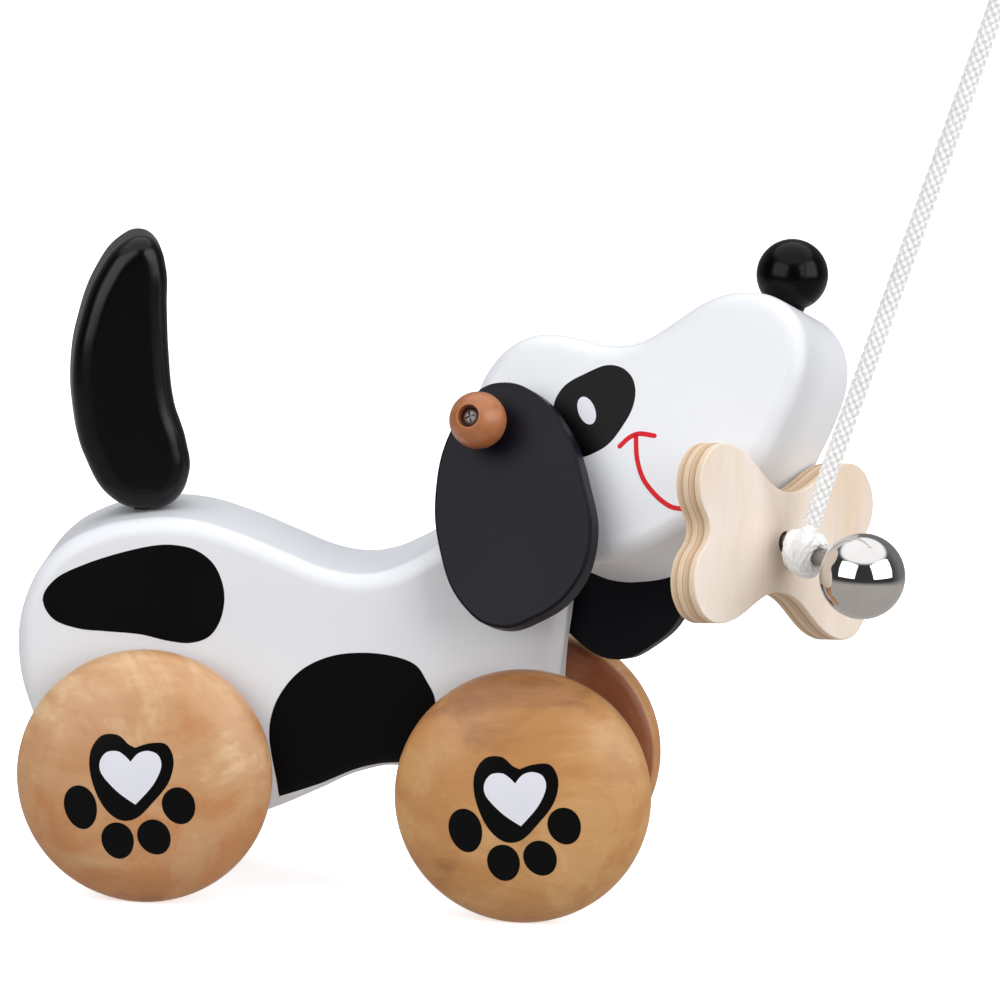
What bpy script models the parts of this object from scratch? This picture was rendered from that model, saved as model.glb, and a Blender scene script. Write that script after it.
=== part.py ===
"""Pull-along wooden toy dog: four domed wheels on two dowel axles, a tail and a head
that turn on pegs, screwed-on ears, and a pull cord tied to a post with a plywood bone.

The dog faces +X and stands on z = 0. Lengths below are in millimetres and become
metres in mm(). The head is drawn looking straight ahead and is then turned on its
slanted neck axis by HEAD_TURN_DEG.
"""
import bpy
import bmesh
from math import cos, pi, radians, sin, sqrt
from mathutils import Matrix, Quaternion, Vector
from mathutils.geometry import interpolate_bezier

MM = 0.001
GAP = 0.3                       # clearance kept between pieces that touch

# ---- driving dimensions -------------------------------------------------------------
FRAME_SHIFT = (-27.26, 9.34, 0.0)  # puts the origin under the middle of the toy

WHEEL_R = 30.0
WHEEL_THICK = 16.5
WHEELBASE = 89.0
AXLE_R = 4.0
AXLE_HOLE_R = 4.5
WHEEL_BORE_R = 4.3
WHEEL_BORE_DEPTH = 9.0

BODY_THICK = 40.0
BODY_ROUND = 4.0
WASHER_THICK = 1.9
WASHER_R = 8.0

HEAD_THICK = 34.0
HEAD_ROUND = 4.2
NECK_TILT_DEG = 41.0            # neck axis, measured from vertical towards the front
HEAD_TURN_DEG = -27.0           # negative turns the snout to the dog's right
NECK_POINT = (41.0, 0.0, 91.0)  # middle of the joint between neck and head
NECK_PEG_R = 5.0
NECK_PEG_LEN = 36.0

TAIL_THICK = 22.0
TAIL_ROUND = 5.0
TAIL_POINT = (-49.0, 0.0, 89.9)
TAIL_TURN_DEG = 9.0             # the tail stands a little turned on its peg
TAIL_PEG_R = 3.0
TAIL_PEG_LEN = 30.0

NOSE_R = 8.35
NOSE_SEAT = (100.6, 0.0, 145.2)
NOSE_TILT_DEG = 7.0
NOSE_SINK = 0.9                 # the flat under the nose lies this far inside the ball
NOSE_PEG_R = 2.5

EAR_POINT = (40.9, 0.0, 108.7)  # ear screw axis on the head
EAR_THICK = 5.5
EAR_INNER_Y = 22.1              # ear's inner face, from the head's mid-plane
EAR_HOLE_R = 2.5                # loose on its screw, so that the ear can rock
EAR_SLACK = 0.95                # room between the ear and the bead outside it
EAR_SPACER_LEN = 3.6
EAR_SPACER_R = 4.0
# lean outward at the bottom and swing forward; the chest pushes the left ear out
EAR_LEAN_SWING_DEG = {"right": (1.5, 0.5), "left": (11.5, 7.5)}
BEAD_R = 6.7
BEAD_COUNTERBORE_R = 2.7
BEAD_FLAT_R = 3.4
SCREW_R = 1.5
SCREW_HOLE_R = 1.85
SCREW_BITE = 12.0               # length of ear screw inside the head

POST_ROOT = (92.5, 0.0, 94.1)   # where the bone's post leaves the jaw
POST_AXIS = (0.871, -0.385, -0.304)
POST_R = 2.0
POST_BITE = 15.0
BONE_ALONG_POST = 20.2          # jaw to the bone's front face
BONE_THICK = 7.2
BONE_HOLE_R = 2.5
BONE_NORMAL = (0.960, -0.279, 0.0)
BONE_ROLL_DEG = 4.6
BONE_LOBE = (23.6, 11.1, 9.7)   # lobe centre along, across, and its radius
BONE_WAIST = 11.7               # half width at the middle
BONE_END_DIP = 28.6             # half length between the two lobes of an end
KNOT_ALONG_POST = 27.4
KNOT_R = 5.4
KNOT_LEN = 8.4
BALL_ALONG_POST = 47.4
BALL_R = 9.9
BALL_BORE_DEPTH = 9.0

CORD_R = 2.25
CORD_ROUTE = [                  # world x, y, z before FRAME_SHIFT, from the knot upward
    (108.6, -36.4, 98.9), (110.8, -36.4, 107.0), (113.7, -36.4, 117.0),
    (117.0, -36.4, 128.0), (120.2, -36.4, 138.5), (123.5, -36.4, 149.5),
    (126.8, -36.4, 160.5), (130.1, -36.4, 171.5), (133.4, -36.4, 182.5),
    (136.7, -36.4, 193.5), (140.0, -36.4, 204.5), (143.3, -36.4, 215.5),
    (146.5, -36.4, 226.5), (149.0, -36.4, 235.0),
]
END_KNOT_LEN = 9.0
END_KNOT_R = 5.2
HAND_LOOP_LEN = 46.0
HAND_LOOP_WIDTH = 26.0

# ---- outlines, x and z in millimetres -----------------------------------------------
BODY_OUTLINE = [
    (-76.4, 56.5), (-74.6, 70.8), (-69.0, 80.1), (-60.0, 86.2), (-49.0, 89.3),
    (-37.5, 89.9), (-25.5, 87.2), (-14.0, 83.1), (-4.5, 79.8), (3.0, 78.9),
    (9.0, 79.9), (14.8, 82.5), (20.5, 86.1), (27.0, 92.1), (34.6, 96.6),
    (52.5, 80.8), (52.4, 69.0), (51.4, 57.0), (51.5, 45.0), (53.5, 31.0),
    (49.5, 19.0), (41.0, 16.0), (32.5, 20.0), (25.0, 28.5), (15.5, 33.4),
    (6.0, 31.9), (-4.0, 27.0), (-14.0, 22.1), (-26.0, 17.6), (-40.0, 15.6),
    (-54.0, 18.0), (-64.6, 26.8), (-71.9, 40.2),
]
BODY_CORNERS = (14, 15)         # the two ends of the straight cut for the neck joint
HEAD_OUTLINE = [
    (33.4, 98.3), (29.4, 108.0), (31.4, 119.3), (34.2, 125.3), (38.2, 129.9),
    (43.2, 132.6), (48.5, 133.3), (55.5, 132.6), (61.0, 131.5), (66.0, 131.3),
    (71.0, 132.5), (76.0, 135.4), (81.0, 139.1), (86.5, 142.8), (91.5, 144.8),
    (97.0, 145.4), (103.0, 144.5), (108.4, 141.1), (111.9, 135.5), (112.8, 128.5),
    (111.4, 121.5), (108.3, 112.8), (104.8, 105.2), (99.0, 98.4), (92.8, 92.6),
    (84.0, 86.2), (75.0, 81.6), (67.0, 79.6), (59.0, 79.5), (53.2, 81.3),
]
HEAD_CORNERS = (0, 29)          # the straight seat on the neck joint
TAIL_OUTLINE = [                # relative to TAIL_POINT
    (0.0, 0.0), (-7.8, 1.7), (-15.0, 12.4), (-17.9, 22.0), (-18.9, 33.5),
    (-17.6, 43.5), (-14.0, 56.0), (-9.5, 63.3), (-4.0, 65.2), (0.6, 63.5),
    (2.8, 57.5), (3.2, 48.0), (4.2, 37.0), (6.5, 25.5), (9.2, 16.5), (9.6, 8.5),
    (5.6, 1.7),
]
EAR_OUTLINE = [                 # relative to EAR_POINT
    (1.2, 10.3), (9.6, 8.6), (18.6, 0.5), (25.3, -12.5), (28.7, -26.0),
    (25.4, -37.8), (16.8, -45.0), (7.6, -47.6), (-1.6, -42.8), (-9.0, -30.2),
    (-11.9, -14.5), (-9.8, -1.5), (-4.6, 7.6),
]

# ---- derived places -----------------------------------------------------------------
NECK_AXIS = Vector((sin(radians(NECK_TILT_DEG)), 0.0, cos(radians(NECK_TILT_DEG))))
WHEEL_BACK_Y = BODY_THICK / 2 + WASHER_THICK + 2 * GAP

COLOURS = {
    "white_paint": ((0.90, 0.91, 0.92), 0.35, 0.0),
    "black_gloss": ((0.010, 0.010, 0.011), 0.25, 0.0),
    "black_satin": ((0.022, 0.022, 0.028), 0.55, 0.0),
    "wheel_wood": ((0.66, 0.40, 0.20), 0.45, 0.0),
    "bead_wood": ((0.42, 0.17, 0.07), 0.45, 0.0),
    "birch_ply": ((0.80, 0.62, 0.44), 0.60, 0.0),
    "dowel_wood": ((0.70, 0.52, 0.33), 0.60, 0.0),
    "steel": ((0.62, 0.60, 0.57), 0.12, 1.0),
    "zinc": ((0.45, 0.45, 0.46), 0.35, 1.0),
    "fibre": ((0.55, 0.50, 0.42), 0.80, 0.0),
    "cord": ((0.86, 0.86, 0.83), 0.85, 0.0),
}


# ---- scene helpers ------------------------------------------------------------------
def mm(*values):
    """Millimetres to a Vector in metres."""
    return Vector(values) * MM


def clear_scene():
    for old in list(bpy.data.objects):
        bpy.data.objects.remove(old, do_unlink=True)


def new_collection(name):
    made = bpy.data.collections.new(name)
    bpy.context.scene.collection.children.link(made)
    return made


def material(name):
    """The named finish as a Principled material, made once."""
    if name in bpy.data.materials:
        return bpy.data.materials[name]
    colour, roughness, metallic = COLOURS[name]
    made = bpy.data.materials.new(name)
    made.use_nodes = True
    shader = made.node_tree.nodes["Principled BSDF"]
    shader.inputs["Base Color"].default_value = (*colour, 1.0)
    shader.inputs["Roughness"].default_value = roughness
    shader.inputs["Metallic"].default_value = metallic
    return made


def pivot(name, parent, place, rotation=None):
    """An empty on a joint's axis; its children are drawn from it."""
    made = bpy.data.objects.new(name, None)
    DOG.objects.link(made)
    made.parent = parent
    made.location = place
    made.rotation_mode = "QUATERNION"
    made.rotation_quaternion = rotation or Quaternion()
    return made


def add_piece(name, mesh, finish, parent, place=Vector(), rotation=None, smooth_deg=35):
    """Link a mesh as a named sub-part with its own finish."""
    mesh.name = name
    made = bpy.data.objects.new(name, mesh)
    DOG.objects.link(made)
    made.parent = parent
    made.location = place
    made.rotation_mode = "QUATERNION"
    made.rotation_quaternion = rotation or Quaternion()
    mesh.materials.clear()
    mesh.materials.append(material(finish))
    mesh.shade_smooth()
    mesh.set_sharp_from_angle(angle=radians(smooth_deg))
    return made


def turn_z_to(direction):
    """Rotation that carries +Z onto the direction."""
    return Vector((0, 0, 1)).rotation_difference(Vector(direction).normalized())


def evaluated_mesh(obj):
    """The object's evaluated shape as a new mesh, with loose caps welded."""
    graph = bpy.context.evaluated_depsgraph_get()
    mesh = bpy.data.meshes.new_from_object(obj.evaluated_get(graph))
    work = bmesh.new()
    work.from_mesh(mesh)
    bmesh.ops.remove_doubles(work, verts=work.verts, dist=0.02 * MM)
    bmesh.ops.recalc_face_normals(work, faces=work.faces)
    work.to_mesh(mesh)
    work.free()
    bpy.data.objects.remove(obj, do_unlink=True)
    return mesh


# ---- shape makers -------------------------------------------------------------------
def outline_plate(points, thickness, rounding, corners=(), steps=4, round_steps=2):
    """A plate in the XZ plane, centred on y = 0, cut to a smooth closed outline."""
    curve = bpy.data.curves.new("outline", "CURVE")
    curve.dimensions = "2D"
    curve.fill_mode = "BOTH"
    curve.extrude = (thickness / 2 - rounding) * MM
    curve.bevel_depth = rounding * MM
    curve.bevel_resolution = round_steps
    curve.offset = -rounding * MM
    spline = curve.splines.new("BEZIER")
    spline.bezier_points.add(len(points) - 1)
    for index, (knot, (x, z)) in enumerate(zip(spline.bezier_points, points)):
        knot.co = mm(x, z, 0)
        kind = "VECTOR" if index in corners else "AUTO"
        knot.handle_left_type = kind
        knot.handle_right_type = kind
    spline.use_cyclic_u = True
    spline.resolution_u = steps
    holder = bpy.data.objects.new("outline", curve)
    DOG.objects.link(holder)
    mesh = evaluated_mesh(holder)
    mesh.transform(Matrix.Rotation(pi / 2, 4, "X"))
    return mesh


def turned(name, profile, finish, parent, place, rotation=None, steps=24, closed=False):
    """A turned piece: (radius, height) points down its outer side, spun about local Z."""
    mesh = bpy.data.meshes.new(name)
    verts = [mm(r, 0, h) for r, h in profile]
    edges = [(i, i + 1) for i in range(len(profile) - 1)]
    if closed:
        edges.append((len(profile) - 1, 0))
    mesh.from_pydata(verts, edges, [])
    made = bpy.data.objects.new(name, mesh)
    DOG.objects.link(made)
    spin = made.modifiers.new("spin", "SCREW")
    spin.axis = "Z"
    spin.steps = steps
    spin.render_steps = steps
    spin.use_merge_vertices = True
    spin.merge_threshold = 0.01 * MM
    spin.use_normal_calculate = False
    return add_piece(name, evaluated_mesh(made), finish, parent, place, rotation)


def arc(centre_r, centre_h, radius, start_deg, end_deg, count):
    """Points on a circle in the turning plane, 90 degrees being straight up."""
    span = end_deg - start_deg
    angles = [radians(start_deg + span * i / count) for i in range(count + 1)]
    return [(centre_r + radius * cos(a), centre_h + radius * sin(a)) for a in angles]


def dowel(name, radius, length, finish, parent, place, rotation=None, chamfer=0.6, steps=16):
    """A chamfered rod that runs from its origin up local Z."""
    profile = [(0, length), (radius - chamfer, length), (radius, length - chamfer),
               (radius, chamfer), (radius - chamfer, 0), (0, 0)]
    return turned(name, profile, finish, parent, place, rotation, steps)


def ring(name, outer, inner, length, finish, parent, place, rotation=None, round_off=0.3, steps=20):
    """A washer or spacer that runs from its origin up local Z."""
    profile = [(inner, length), (outer - round_off, length), (outer, length - round_off),
               (outer, round_off), (outer - round_off, 0), (inner, 0)]
    return turned(name, profile, finish, parent, place, rotation, steps, closed=True)


def drill(target, radius, start, direction, length, steps=20):
    """Cut a round hole into the target; start and direction are in its parent's frame."""
    mesh = bpy.data.meshes.new("drill")
    work = bmesh.new()
    bmesh.ops.create_cone(work, cap_ends=True, segments=steps, radius1=radius * MM,
                          radius2=radius * MM, depth=length * MM)
    bmesh.ops.translate(work, verts=work.verts, vec=mm(0, 0, length / 2))
    work.to_mesh(mesh)
    work.free()
    cutter = bpy.data.objects.new("drill_" + target.name, mesh)
    CUTTERS.objects.link(cutter)
    cutter.parent = target.parent
    cutter.location = start
    cutter.rotation_mode = "QUATERNION"
    cutter.rotation_quaternion = turn_z_to(direction)
    cutter.hide_render = True
    cutter.display_type = "WIRE"
    cut = target.modifiers.new("hole", "BOOLEAN")
    cut.operation = "DIFFERENCE"
    cut.solver = "EXACT"
    cut.object = cutter


# ---- body, wheels and tail ----------------------------------------------------------
def make_body(root):
    mesh = outline_plate(BODY_OUTLINE, BODY_THICK, BODY_ROUND, BODY_CORNERS, steps=3)
    body = add_piece("body_block", mesh, "white_paint", root)
    for axle_x in (-WHEELBASE / 2, WHEELBASE / 2):
        start = mm(axle_x, -BODY_THICK, WHEEL_R)
        drill(body, AXLE_HOLE_R, start, (0, 1, 0), 2 * BODY_THICK, steps=24)
    tail_hole_bottom = mm(TAIL_POINT[0], 0, TAIL_POINT[2] - TAIL_PEG_LEN / 2 - GAP)
    drill(body, TAIL_PEG_R + GAP, tail_hole_bottom, (0, 0, 1), TAIL_PEG_LEN)
    neck_hole_bottom = mm(*NECK_POINT) - NECK_AXIS * (NECK_PEG_LEN / 2 + GAP) * MM
    drill(body, NECK_PEG_R + GAP, neck_hole_bottom, NECK_AXIS, NECK_PEG_LEN)


def wheel_profile():
    """Domed wheel: flat back at height 0, widest at 5 mm, crown at WHEEL_THICK."""
    crown = [(0.0, WHEEL_THICK), (6.0, 16.3), (12.0, 15.7), (17.5, 14.7), (22.5, 13.0),
             (26.5, 10.5), (29.1, 8.2), (WHEEL_R, 6.1)]
    back = [(WHEEL_R, 4.0), (29.8, 2.8), (29.0, 1.2), (27.9, 0.5), (26.8, 0.0)]
    bore = [(WHEEL_BORE_R, 0.0), (WHEEL_BORE_R, WHEEL_BORE_DEPTH), (0.0, WHEEL_BORE_DEPTH)]
    return crown + back + bore


def make_wheelset(root, end, axle_x):
    """Two wheels glued to one dowel that turns in the body."""
    hub = pivot(end + "_axle_pivot", root, mm(axle_x, 0, WHEEL_R))
    half_axle = WHEEL_BACK_Y + WHEEL_BORE_DEPTH - GAP
    dowel(end + "_axle", AXLE_R, 2 * half_axle, "dowel_wood", hub,
          mm(0, -half_axle, 0), turn_z_to((0, 1, 0)))
    for side, sign in (("right", -1), ("left", 1)):
        outward = turn_z_to((0, sign, 0))
        turned(end + "_wheel_" + side, wheel_profile(), "wheel_wood", hub,
               mm(0, sign * WHEEL_BACK_Y, 0), outward, steps=36)
        ring(end + "_washer_" + side, WASHER_R, AXLE_R + GAP, WASHER_THICK, "fibre", hub,
             mm(0, sign * (BODY_THICK / 2 + GAP), 0), outward)


def make_tail(root):
    place = mm(*TAIL_POINT)
    turn = Quaternion((0, 0, 1), radians(TAIL_TURN_DEG))
    base = pivot("tail_pivot", root, place, turn)
    mesh = outline_plate(TAIL_OUTLINE, TAIL_THICK, TAIL_ROUND, steps=3)
    tail = add_piece("tail", mesh, "black_gloss", base)
    drill(tail, TAIL_PEG_R + GAP, mm(0, 0, -5), (0, 0, 1), TAIL_PEG_LEN / 2 + 5 + GAP)
    dowel("tail_peg", TAIL_PEG_R, TAIL_PEG_LEN, "dowel_wood", base,
          mm(0, 0, -TAIL_PEG_LEN / 2))


# ---- head ---------------------------------------------------------------------------
def on_head(x, y, z):
    """A place on the straight head, measured from the neck pivot."""
    return mm(x, y, z) - mm(*NECK_POINT)


def make_head(neck):
    mesh = outline_plate(HEAD_OUTLINE, HEAD_THICK, HEAD_ROUND, HEAD_CORNERS, steps=3)
    head = add_piece("head_block", mesh, "white_paint", neck, on_head(0, 0, 0))
    drill(head, NECK_PEG_R + GAP, NECK_AXIS * -8 * MM, NECK_AXIS, NECK_PEG_LEN / 2 + 8 + GAP)
    for sign in (-1, 1):
        start = on_head(EAR_POINT[0], sign * (HEAD_THICK / 2 - SCREW_BITE - GAP), EAR_POINT[2])
        drill(head, SCREW_HOLE_R, start, (0, sign, 0), SCREW_BITE + 5, steps=12)
    post = Vector(POST_AXIS).normalized()
    drill(head, POST_R + GAP, on_head(*POST_ROOT) - post * (POST_BITE + GAP) * MM, post,
          POST_BITE + 10, steps=14)
    seat = on_head(*NOSE_SEAT)
    up = nose_axis()
    drill(head, NOSE_PEG_R + GAP, seat - up * (8 + GAP) * MM, up, 12, steps=14)
    dowel("neck_peg", NECK_PEG_R, NECK_PEG_LEN, "dowel_wood", neck,
          NECK_AXIS * (-NECK_PEG_LEN / 2) * MM, turn_z_to(NECK_AXIS))


def nose_axis():
    return Vector((sin(radians(NOSE_TILT_DEG)), 0, cos(radians(NOSE_TILT_DEG))))


def make_nose(neck):
    """Ball with a small flat under it, on a short peg."""
    centre_h = NOSE_R - NOSE_SINK
    flat_deg = -90 + 180 / pi * (2 * NOSE_SINK / NOSE_R) ** 0.5
    outer = arc(0, centre_h, NOSE_R, 90, flat_deg, 12)
    outer[0] = (0, centre_h + NOSE_R)
    bore_depth = 6.3
    bore = [(NOSE_PEG_R + GAP, outer[-1][1]), (NOSE_PEG_R + GAP, outer[-1][1] + bore_depth),
            (0, outer[-1][1] + bore_depth)]
    up = nose_axis()
    seat = on_head(*NOSE_SEAT)
    turned("nose_ball", outer + bore, "black_gloss", neck, seat, turn_z_to(up), steps=20)
    dowel("nose_peg", NOSE_PEG_R, 14, "dowel_wood", neck, seat - up * 8 * MM, turn_z_to(up))


def make_ear(neck, side, sign):
    """Ear plate, spacer, bead and screw, all on one crosswise screw axis."""
    lean, swing = EAR_LEAN_SWING_DEG[side]
    turn = Vector((sign * radians(lean), -radians(swing), 0))
    axis_point = on_head(EAR_POINT[0], 0, EAR_POINT[2])
    middle = sign * (EAR_INNER_Y + EAR_THICK / 2)
    hang = Quaternion(turn.normalized(), turn.length)
    hinge = pivot("ear_%s_pivot" % side, neck, axis_point + mm(0, middle, 0), hang)
    mesh = outline_plate(EAR_OUTLINE, EAR_THICK, 0.8, steps=4, round_steps=1)
    ear = add_piece("ear_" + side, mesh, "black_satin", hinge)
    drill(ear, EAR_HOLE_R, mm(0, -2 * EAR_THICK, 0), (0, 1, 0), 4 * EAR_THICK, steps=16)
    outward = turn_z_to((0, sign, 0))
    ring("ear_spacer_" + side, EAR_SPACER_R, SCREW_HOLE_R, EAR_SPACER_LEN, "dowel_wood",
         neck, axis_point + mm(0, sign * (HEAD_THICK / 2 + GAP), 0), outward, steps=16)
    make_bead(neck, side, axis_point, sign, outward)


def make_bead(neck, side, axis_point, sign, outward):
    """Wooden bead that keeps the ear on, with its screw sunk in a counterbore."""
    flat_h = sqrt(BEAD_R ** 2 - BEAD_FLAT_R ** 2)
    mouth_h = sqrt(BEAD_R ** 2 - BEAD_COUNTERBORE_R ** 2)
    mouth_deg = 90 - 57.3 * BEAD_COUNTERBORE_R / BEAD_R
    foot_deg = -90 + 57.3 * BEAD_FLAT_R / BEAD_R
    seat_h = 3.0                # bottom of the counterbore
    outer = arc(0, 0, BEAD_R, mouth_deg, foot_deg, 9)
    outer[0] = (BEAD_COUNTERBORE_R, mouth_h)
    outer[-1] = (BEAD_FLAT_R, -flat_h)
    bore = [(SCREW_HOLE_R, -flat_h), (SCREW_HOLE_R, seat_h), (BEAD_COUNTERBORE_R, seat_h)]
    bead_centre = EAR_INNER_Y + EAR_THICK + EAR_SLACK + flat_h
    turned("ear_bead_" + side, outer + bore, "bead_wood", neck,
           axis_point + mm(0, sign * bead_centre, 0), outward, steps=18, closed=True)
    tip = HEAD_THICK / 2 - SCREW_BITE
    head_base = bead_centre + seat_h + GAP - tip
    screw = [(0, head_base + 1.9), (1.4, head_base + 1.8), (2.2, head_base + 1.1),
             (2.3, head_base), (SCREW_R, head_base), (SCREW_R, 2.0), (0, 0)]
    turned("ear_screw_" + side, screw, "zinc", neck, axis_point + mm(0, sign * tip, 0),
           outward, steps=12)


# ---- bone, post and cord ------------------------------------------------------------
def bone_outline():
    """Four round lobes at the corners, joined by dips, as outline points."""
    along, across, radius = BONE_LOBE
    lobe = [radians(a) for a in (105, 70, 40, 10, -20)]
    quarter = [(along + radius * cos(a), across + radius * sin(a)) for a in lobe]
    half = [(0.0, BONE_WAIST)] + quarter + [(BONE_END_DIP, 0.0)]
    mirrored = [(x, -z) for x, z in reversed(half[1:-1])]
    right = half + mirrored + [(0.0, -BONE_WAIST)]
    left = [(-x, z) for x, z in reversed(right[1:-1])]
    return right + left


def make_bone(neck):
    """Plywood bone, loose on its post, with the post, knot and steel ball."""
    post = Vector(POST_AXIS).normalized()
    root = on_head(*POST_ROOT)
    along_post = turn_z_to(post)
    swivel = pivot("bone_pivot", neck, root + post * BONE_ALONG_POST * MM)
    mesh = outline_plate(bone_outline(), BONE_THICK, 0.5, steps=3, round_steps=0)
    facing = Vector(BONE_NORMAL).normalized()
    side = Vector((0, 1, 0)) - facing * facing.y
    tilt = Quaternion(facing, radians(BONE_ROLL_DEG))
    long_way = tilt @ side.normalized()
    frame = Matrix((long_way, -facing, facing.cross(long_way))).transposed()
    bone = add_piece("bone", mesh, "birch_ply", swivel, facing * (-BONE_THICK / 2) * MM,
                     frame.to_quaternion())
    drill(bone, BONE_HOLE_R, post * -17 * MM, post, 26, steps=24)
    reach = BALL_ALONG_POST - 2.5
    dowel("bone_post", POST_R, reach + POST_BITE, "zinc", neck, root - post * POST_BITE * MM,
          along_post, chamfer=0.4, steps=14)
    make_ball(neck, root + post * BALL_ALONG_POST * MM, along_post)
    make_knot(neck, root + post * KNOT_ALONG_POST * MM, along_post)


def make_ball(neck, centre, along_post):
    """Polished ball with a blind bore that takes the end of the post."""
    mouth_r = POST_R + GAP
    mouth_deg = -90 + 57.3 * mouth_r / BALL_R
    outer = arc(0, 0, BALL_R, 90, mouth_deg, 14)
    outer[0] = (0, BALL_R)
    mouth_h = -sqrt(BALL_R ** 2 - mouth_r ** 2)
    outer[-1] = (mouth_r, mouth_h)
    bore = [(mouth_r, mouth_h + BALL_BORE_DEPTH), (0, mouth_h + BALL_BORE_DEPTH)]
    turned("steel_ball", outer + bore, "steel", neck, centre, along_post, steps=22)


def make_knot(neck, centre, along_post):
    """The cord's knot, as a plain rounded sleeve around the post."""
    half = KNOT_LEN / 2
    inner = POST_R + GAP
    profile = [(inner, half), (KNOT_R - 2.0, half), (KNOT_R - 0.6, half - 1.4), (KNOT_R, 0),
               (KNOT_R - 0.6, -half + 1.4), (KNOT_R - 2.0, -half), (inner, -half)]
    turned("cord_knot", profile, "cord", neck, centre, along_post, steps=16, closed=True)


def smooth_route(route, per_span):
    """Points along a smooth curve through the route's own points."""
    points = [Vector(p) for p in route]
    line = []
    for i in range(len(points) - 1):
        before = points[max(i - 1, 0)]
        after = points[min(i + 2, len(points) - 1)]
        start, end = points[i], points[i + 1]
        handle_a = start + (end - before) / 6
        handle_b = end - (after - start) / 6
        line += interpolate_bezier(start, handle_a, handle_b, end, per_span + 1)[:-1]
    return line + [points[-1]]


def tube(name, points, radius, parent, closed=False):
    """A cord along the points, as one closed tube."""
    curve = bpy.data.curves.new(name, "CURVE")
    curve.dimensions = "3D"
    curve.bevel_depth = radius * MM
    curve.bevel_resolution = 2
    curve.use_fill_caps = not closed
    spline = curve.splines.new("POLY")
    spline.points.add(len(points) - 1)
    for point, place in zip(spline.points, points):
        point.co = (*(Vector(place) * MM), 1.0)
    spline.use_cyclic_u = closed
    holder = bpy.data.objects.new(name, curve)
    DOG.objects.link(holder)
    return add_piece(name, evaluated_mesh(holder), "cord", parent)


def hand_loop_points(start, direction, count=22):
    """A long teardrop loop that starts and ends beside one point."""
    side = Vector((direction.z, 0, -direction.x))
    points = []
    for i in range(count):
        turn = 0.42 + (2 * pi - 0.84) * i / (count - 1)
        along = HAND_LOOP_LEN * (1 - cos(turn)) / 2
        across = HAND_LOOP_WIDTH / 2 * sin(turn) * (1 - 0.35 * cos(turn))
        points.append(start + direction * along + side * across)
    return points


def make_cord(root):
    """The taut pull cord, its end knot and the hand loop past it."""
    route = smooth_route(CORD_ROUTE, 1)
    tube("pull_cord", route, CORD_R, root)
    top = Vector(CORD_ROUTE[-1])
    direction = (top - Vector(CORD_ROUTE[-2])).normalized()
    knot_start = top + direction * GAP
    half = END_KNOT_LEN / 2
    knot = [(0, half), (END_KNOT_R - 1.8, half), (END_KNOT_R, half * 0.45),
            (END_KNOT_R, -half * 0.45), (END_KNOT_R - 1.8, -half), (0, -half)]
    turned("cord_end_knot", knot, "cord", root, (knot_start + direction * half) * MM,
           turn_z_to(direction), steps=16)
    loop_start = knot_start + direction * (END_KNOT_LEN - 0.6)
    tube("hand_loop", hand_loop_points(loop_start, direction), CORD_R, root)


# ---- assembly -----------------------------------------------------------------------
def build_dog():
    root = pivot("dog_frame", None, mm(*FRAME_SHIFT))
    make_body(root)
    make_wheelset(root, "rear", -WHEELBASE / 2)
    make_wheelset(root, "front", WHEELBASE / 2)
    make_tail(root)
    neck = pivot("neck_pivot", root, mm(*NECK_POINT),
                 Quaternion(NECK_AXIS, radians(HEAD_TURN_DEG)))
    make_head(neck)
    make_nose(neck)
    for side, sign in (("right", -1), ("left", 1)):
        make_ear(neck, side, sign)
    make_bone(neck)
    make_cord(root)


clear_scene()
DOG = new_collection("pull_along_dog")
CUTTERS = new_collection("cutters")
build_dog()
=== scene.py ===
"""Looks of the pull-along toy dog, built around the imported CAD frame.

Lengths are millimetres in the dog's own frame (x forward, y to its left, z up, origin on
the ground midway between the axles) and become metres in mm().
"""
from math import cos, degrees, pi, radians, sin, sqrt

import bmesh
import bpy
from mathutils import Matrix, Quaternion, Vector
from mathutils.bvhtree import BVHTree
from mathutils.geometry import interpolate_bezier


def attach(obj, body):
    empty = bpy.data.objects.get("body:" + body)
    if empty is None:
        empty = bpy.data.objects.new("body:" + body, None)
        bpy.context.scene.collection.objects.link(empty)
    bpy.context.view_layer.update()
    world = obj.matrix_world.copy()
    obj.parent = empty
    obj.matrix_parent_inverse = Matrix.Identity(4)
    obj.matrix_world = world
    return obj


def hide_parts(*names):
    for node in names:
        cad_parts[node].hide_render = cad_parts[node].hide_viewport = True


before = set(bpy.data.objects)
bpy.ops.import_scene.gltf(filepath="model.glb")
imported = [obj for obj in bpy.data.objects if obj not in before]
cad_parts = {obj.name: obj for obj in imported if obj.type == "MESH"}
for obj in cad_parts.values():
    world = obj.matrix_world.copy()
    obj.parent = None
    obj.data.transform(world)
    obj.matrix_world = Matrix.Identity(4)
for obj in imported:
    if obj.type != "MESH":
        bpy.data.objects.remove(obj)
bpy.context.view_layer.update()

MM = 0.001
SHIFT = Vector((-27.26, 9.34, 0.0))

WHEEL_R = 30.0
WHEELBASE = 89.0
WHEEL_BACK_Y = 22.5
AXLE_HOLE_R = 4.5
BODY_THICK = 40.0
WASHER_SEAT_Y = 20.3
HEAD_THICK = 34.0
NECK_POINT = Vector((41.0, 0.0, 91.0))
NECK_AXIS = Vector((sin(radians(41.0)), 0.0, cos(radians(41.0))))
HEAD_TURN_DEG = -27.0
TAIL_POINT = Vector((-49.0, 0.0, 89.9))
TAIL_TURN_DEG = 9.0
TAIL_CLEARANCE = 0.20            # keeps the turned tail off the back
EAR_POINT = Vector((40.9, 0.0, 108.7))
EAR_THICK = 5.5
EAR_SPACER_Y = 17.3
EAR_INNER_Y = 22.1
EAR_LEAN_SWING_DEG = {"right": (1.5, 0.5), "left": (11.5, 7.5)}
BEAD_R = 6.7
BEAD_FLAT_R = 3.4
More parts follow.
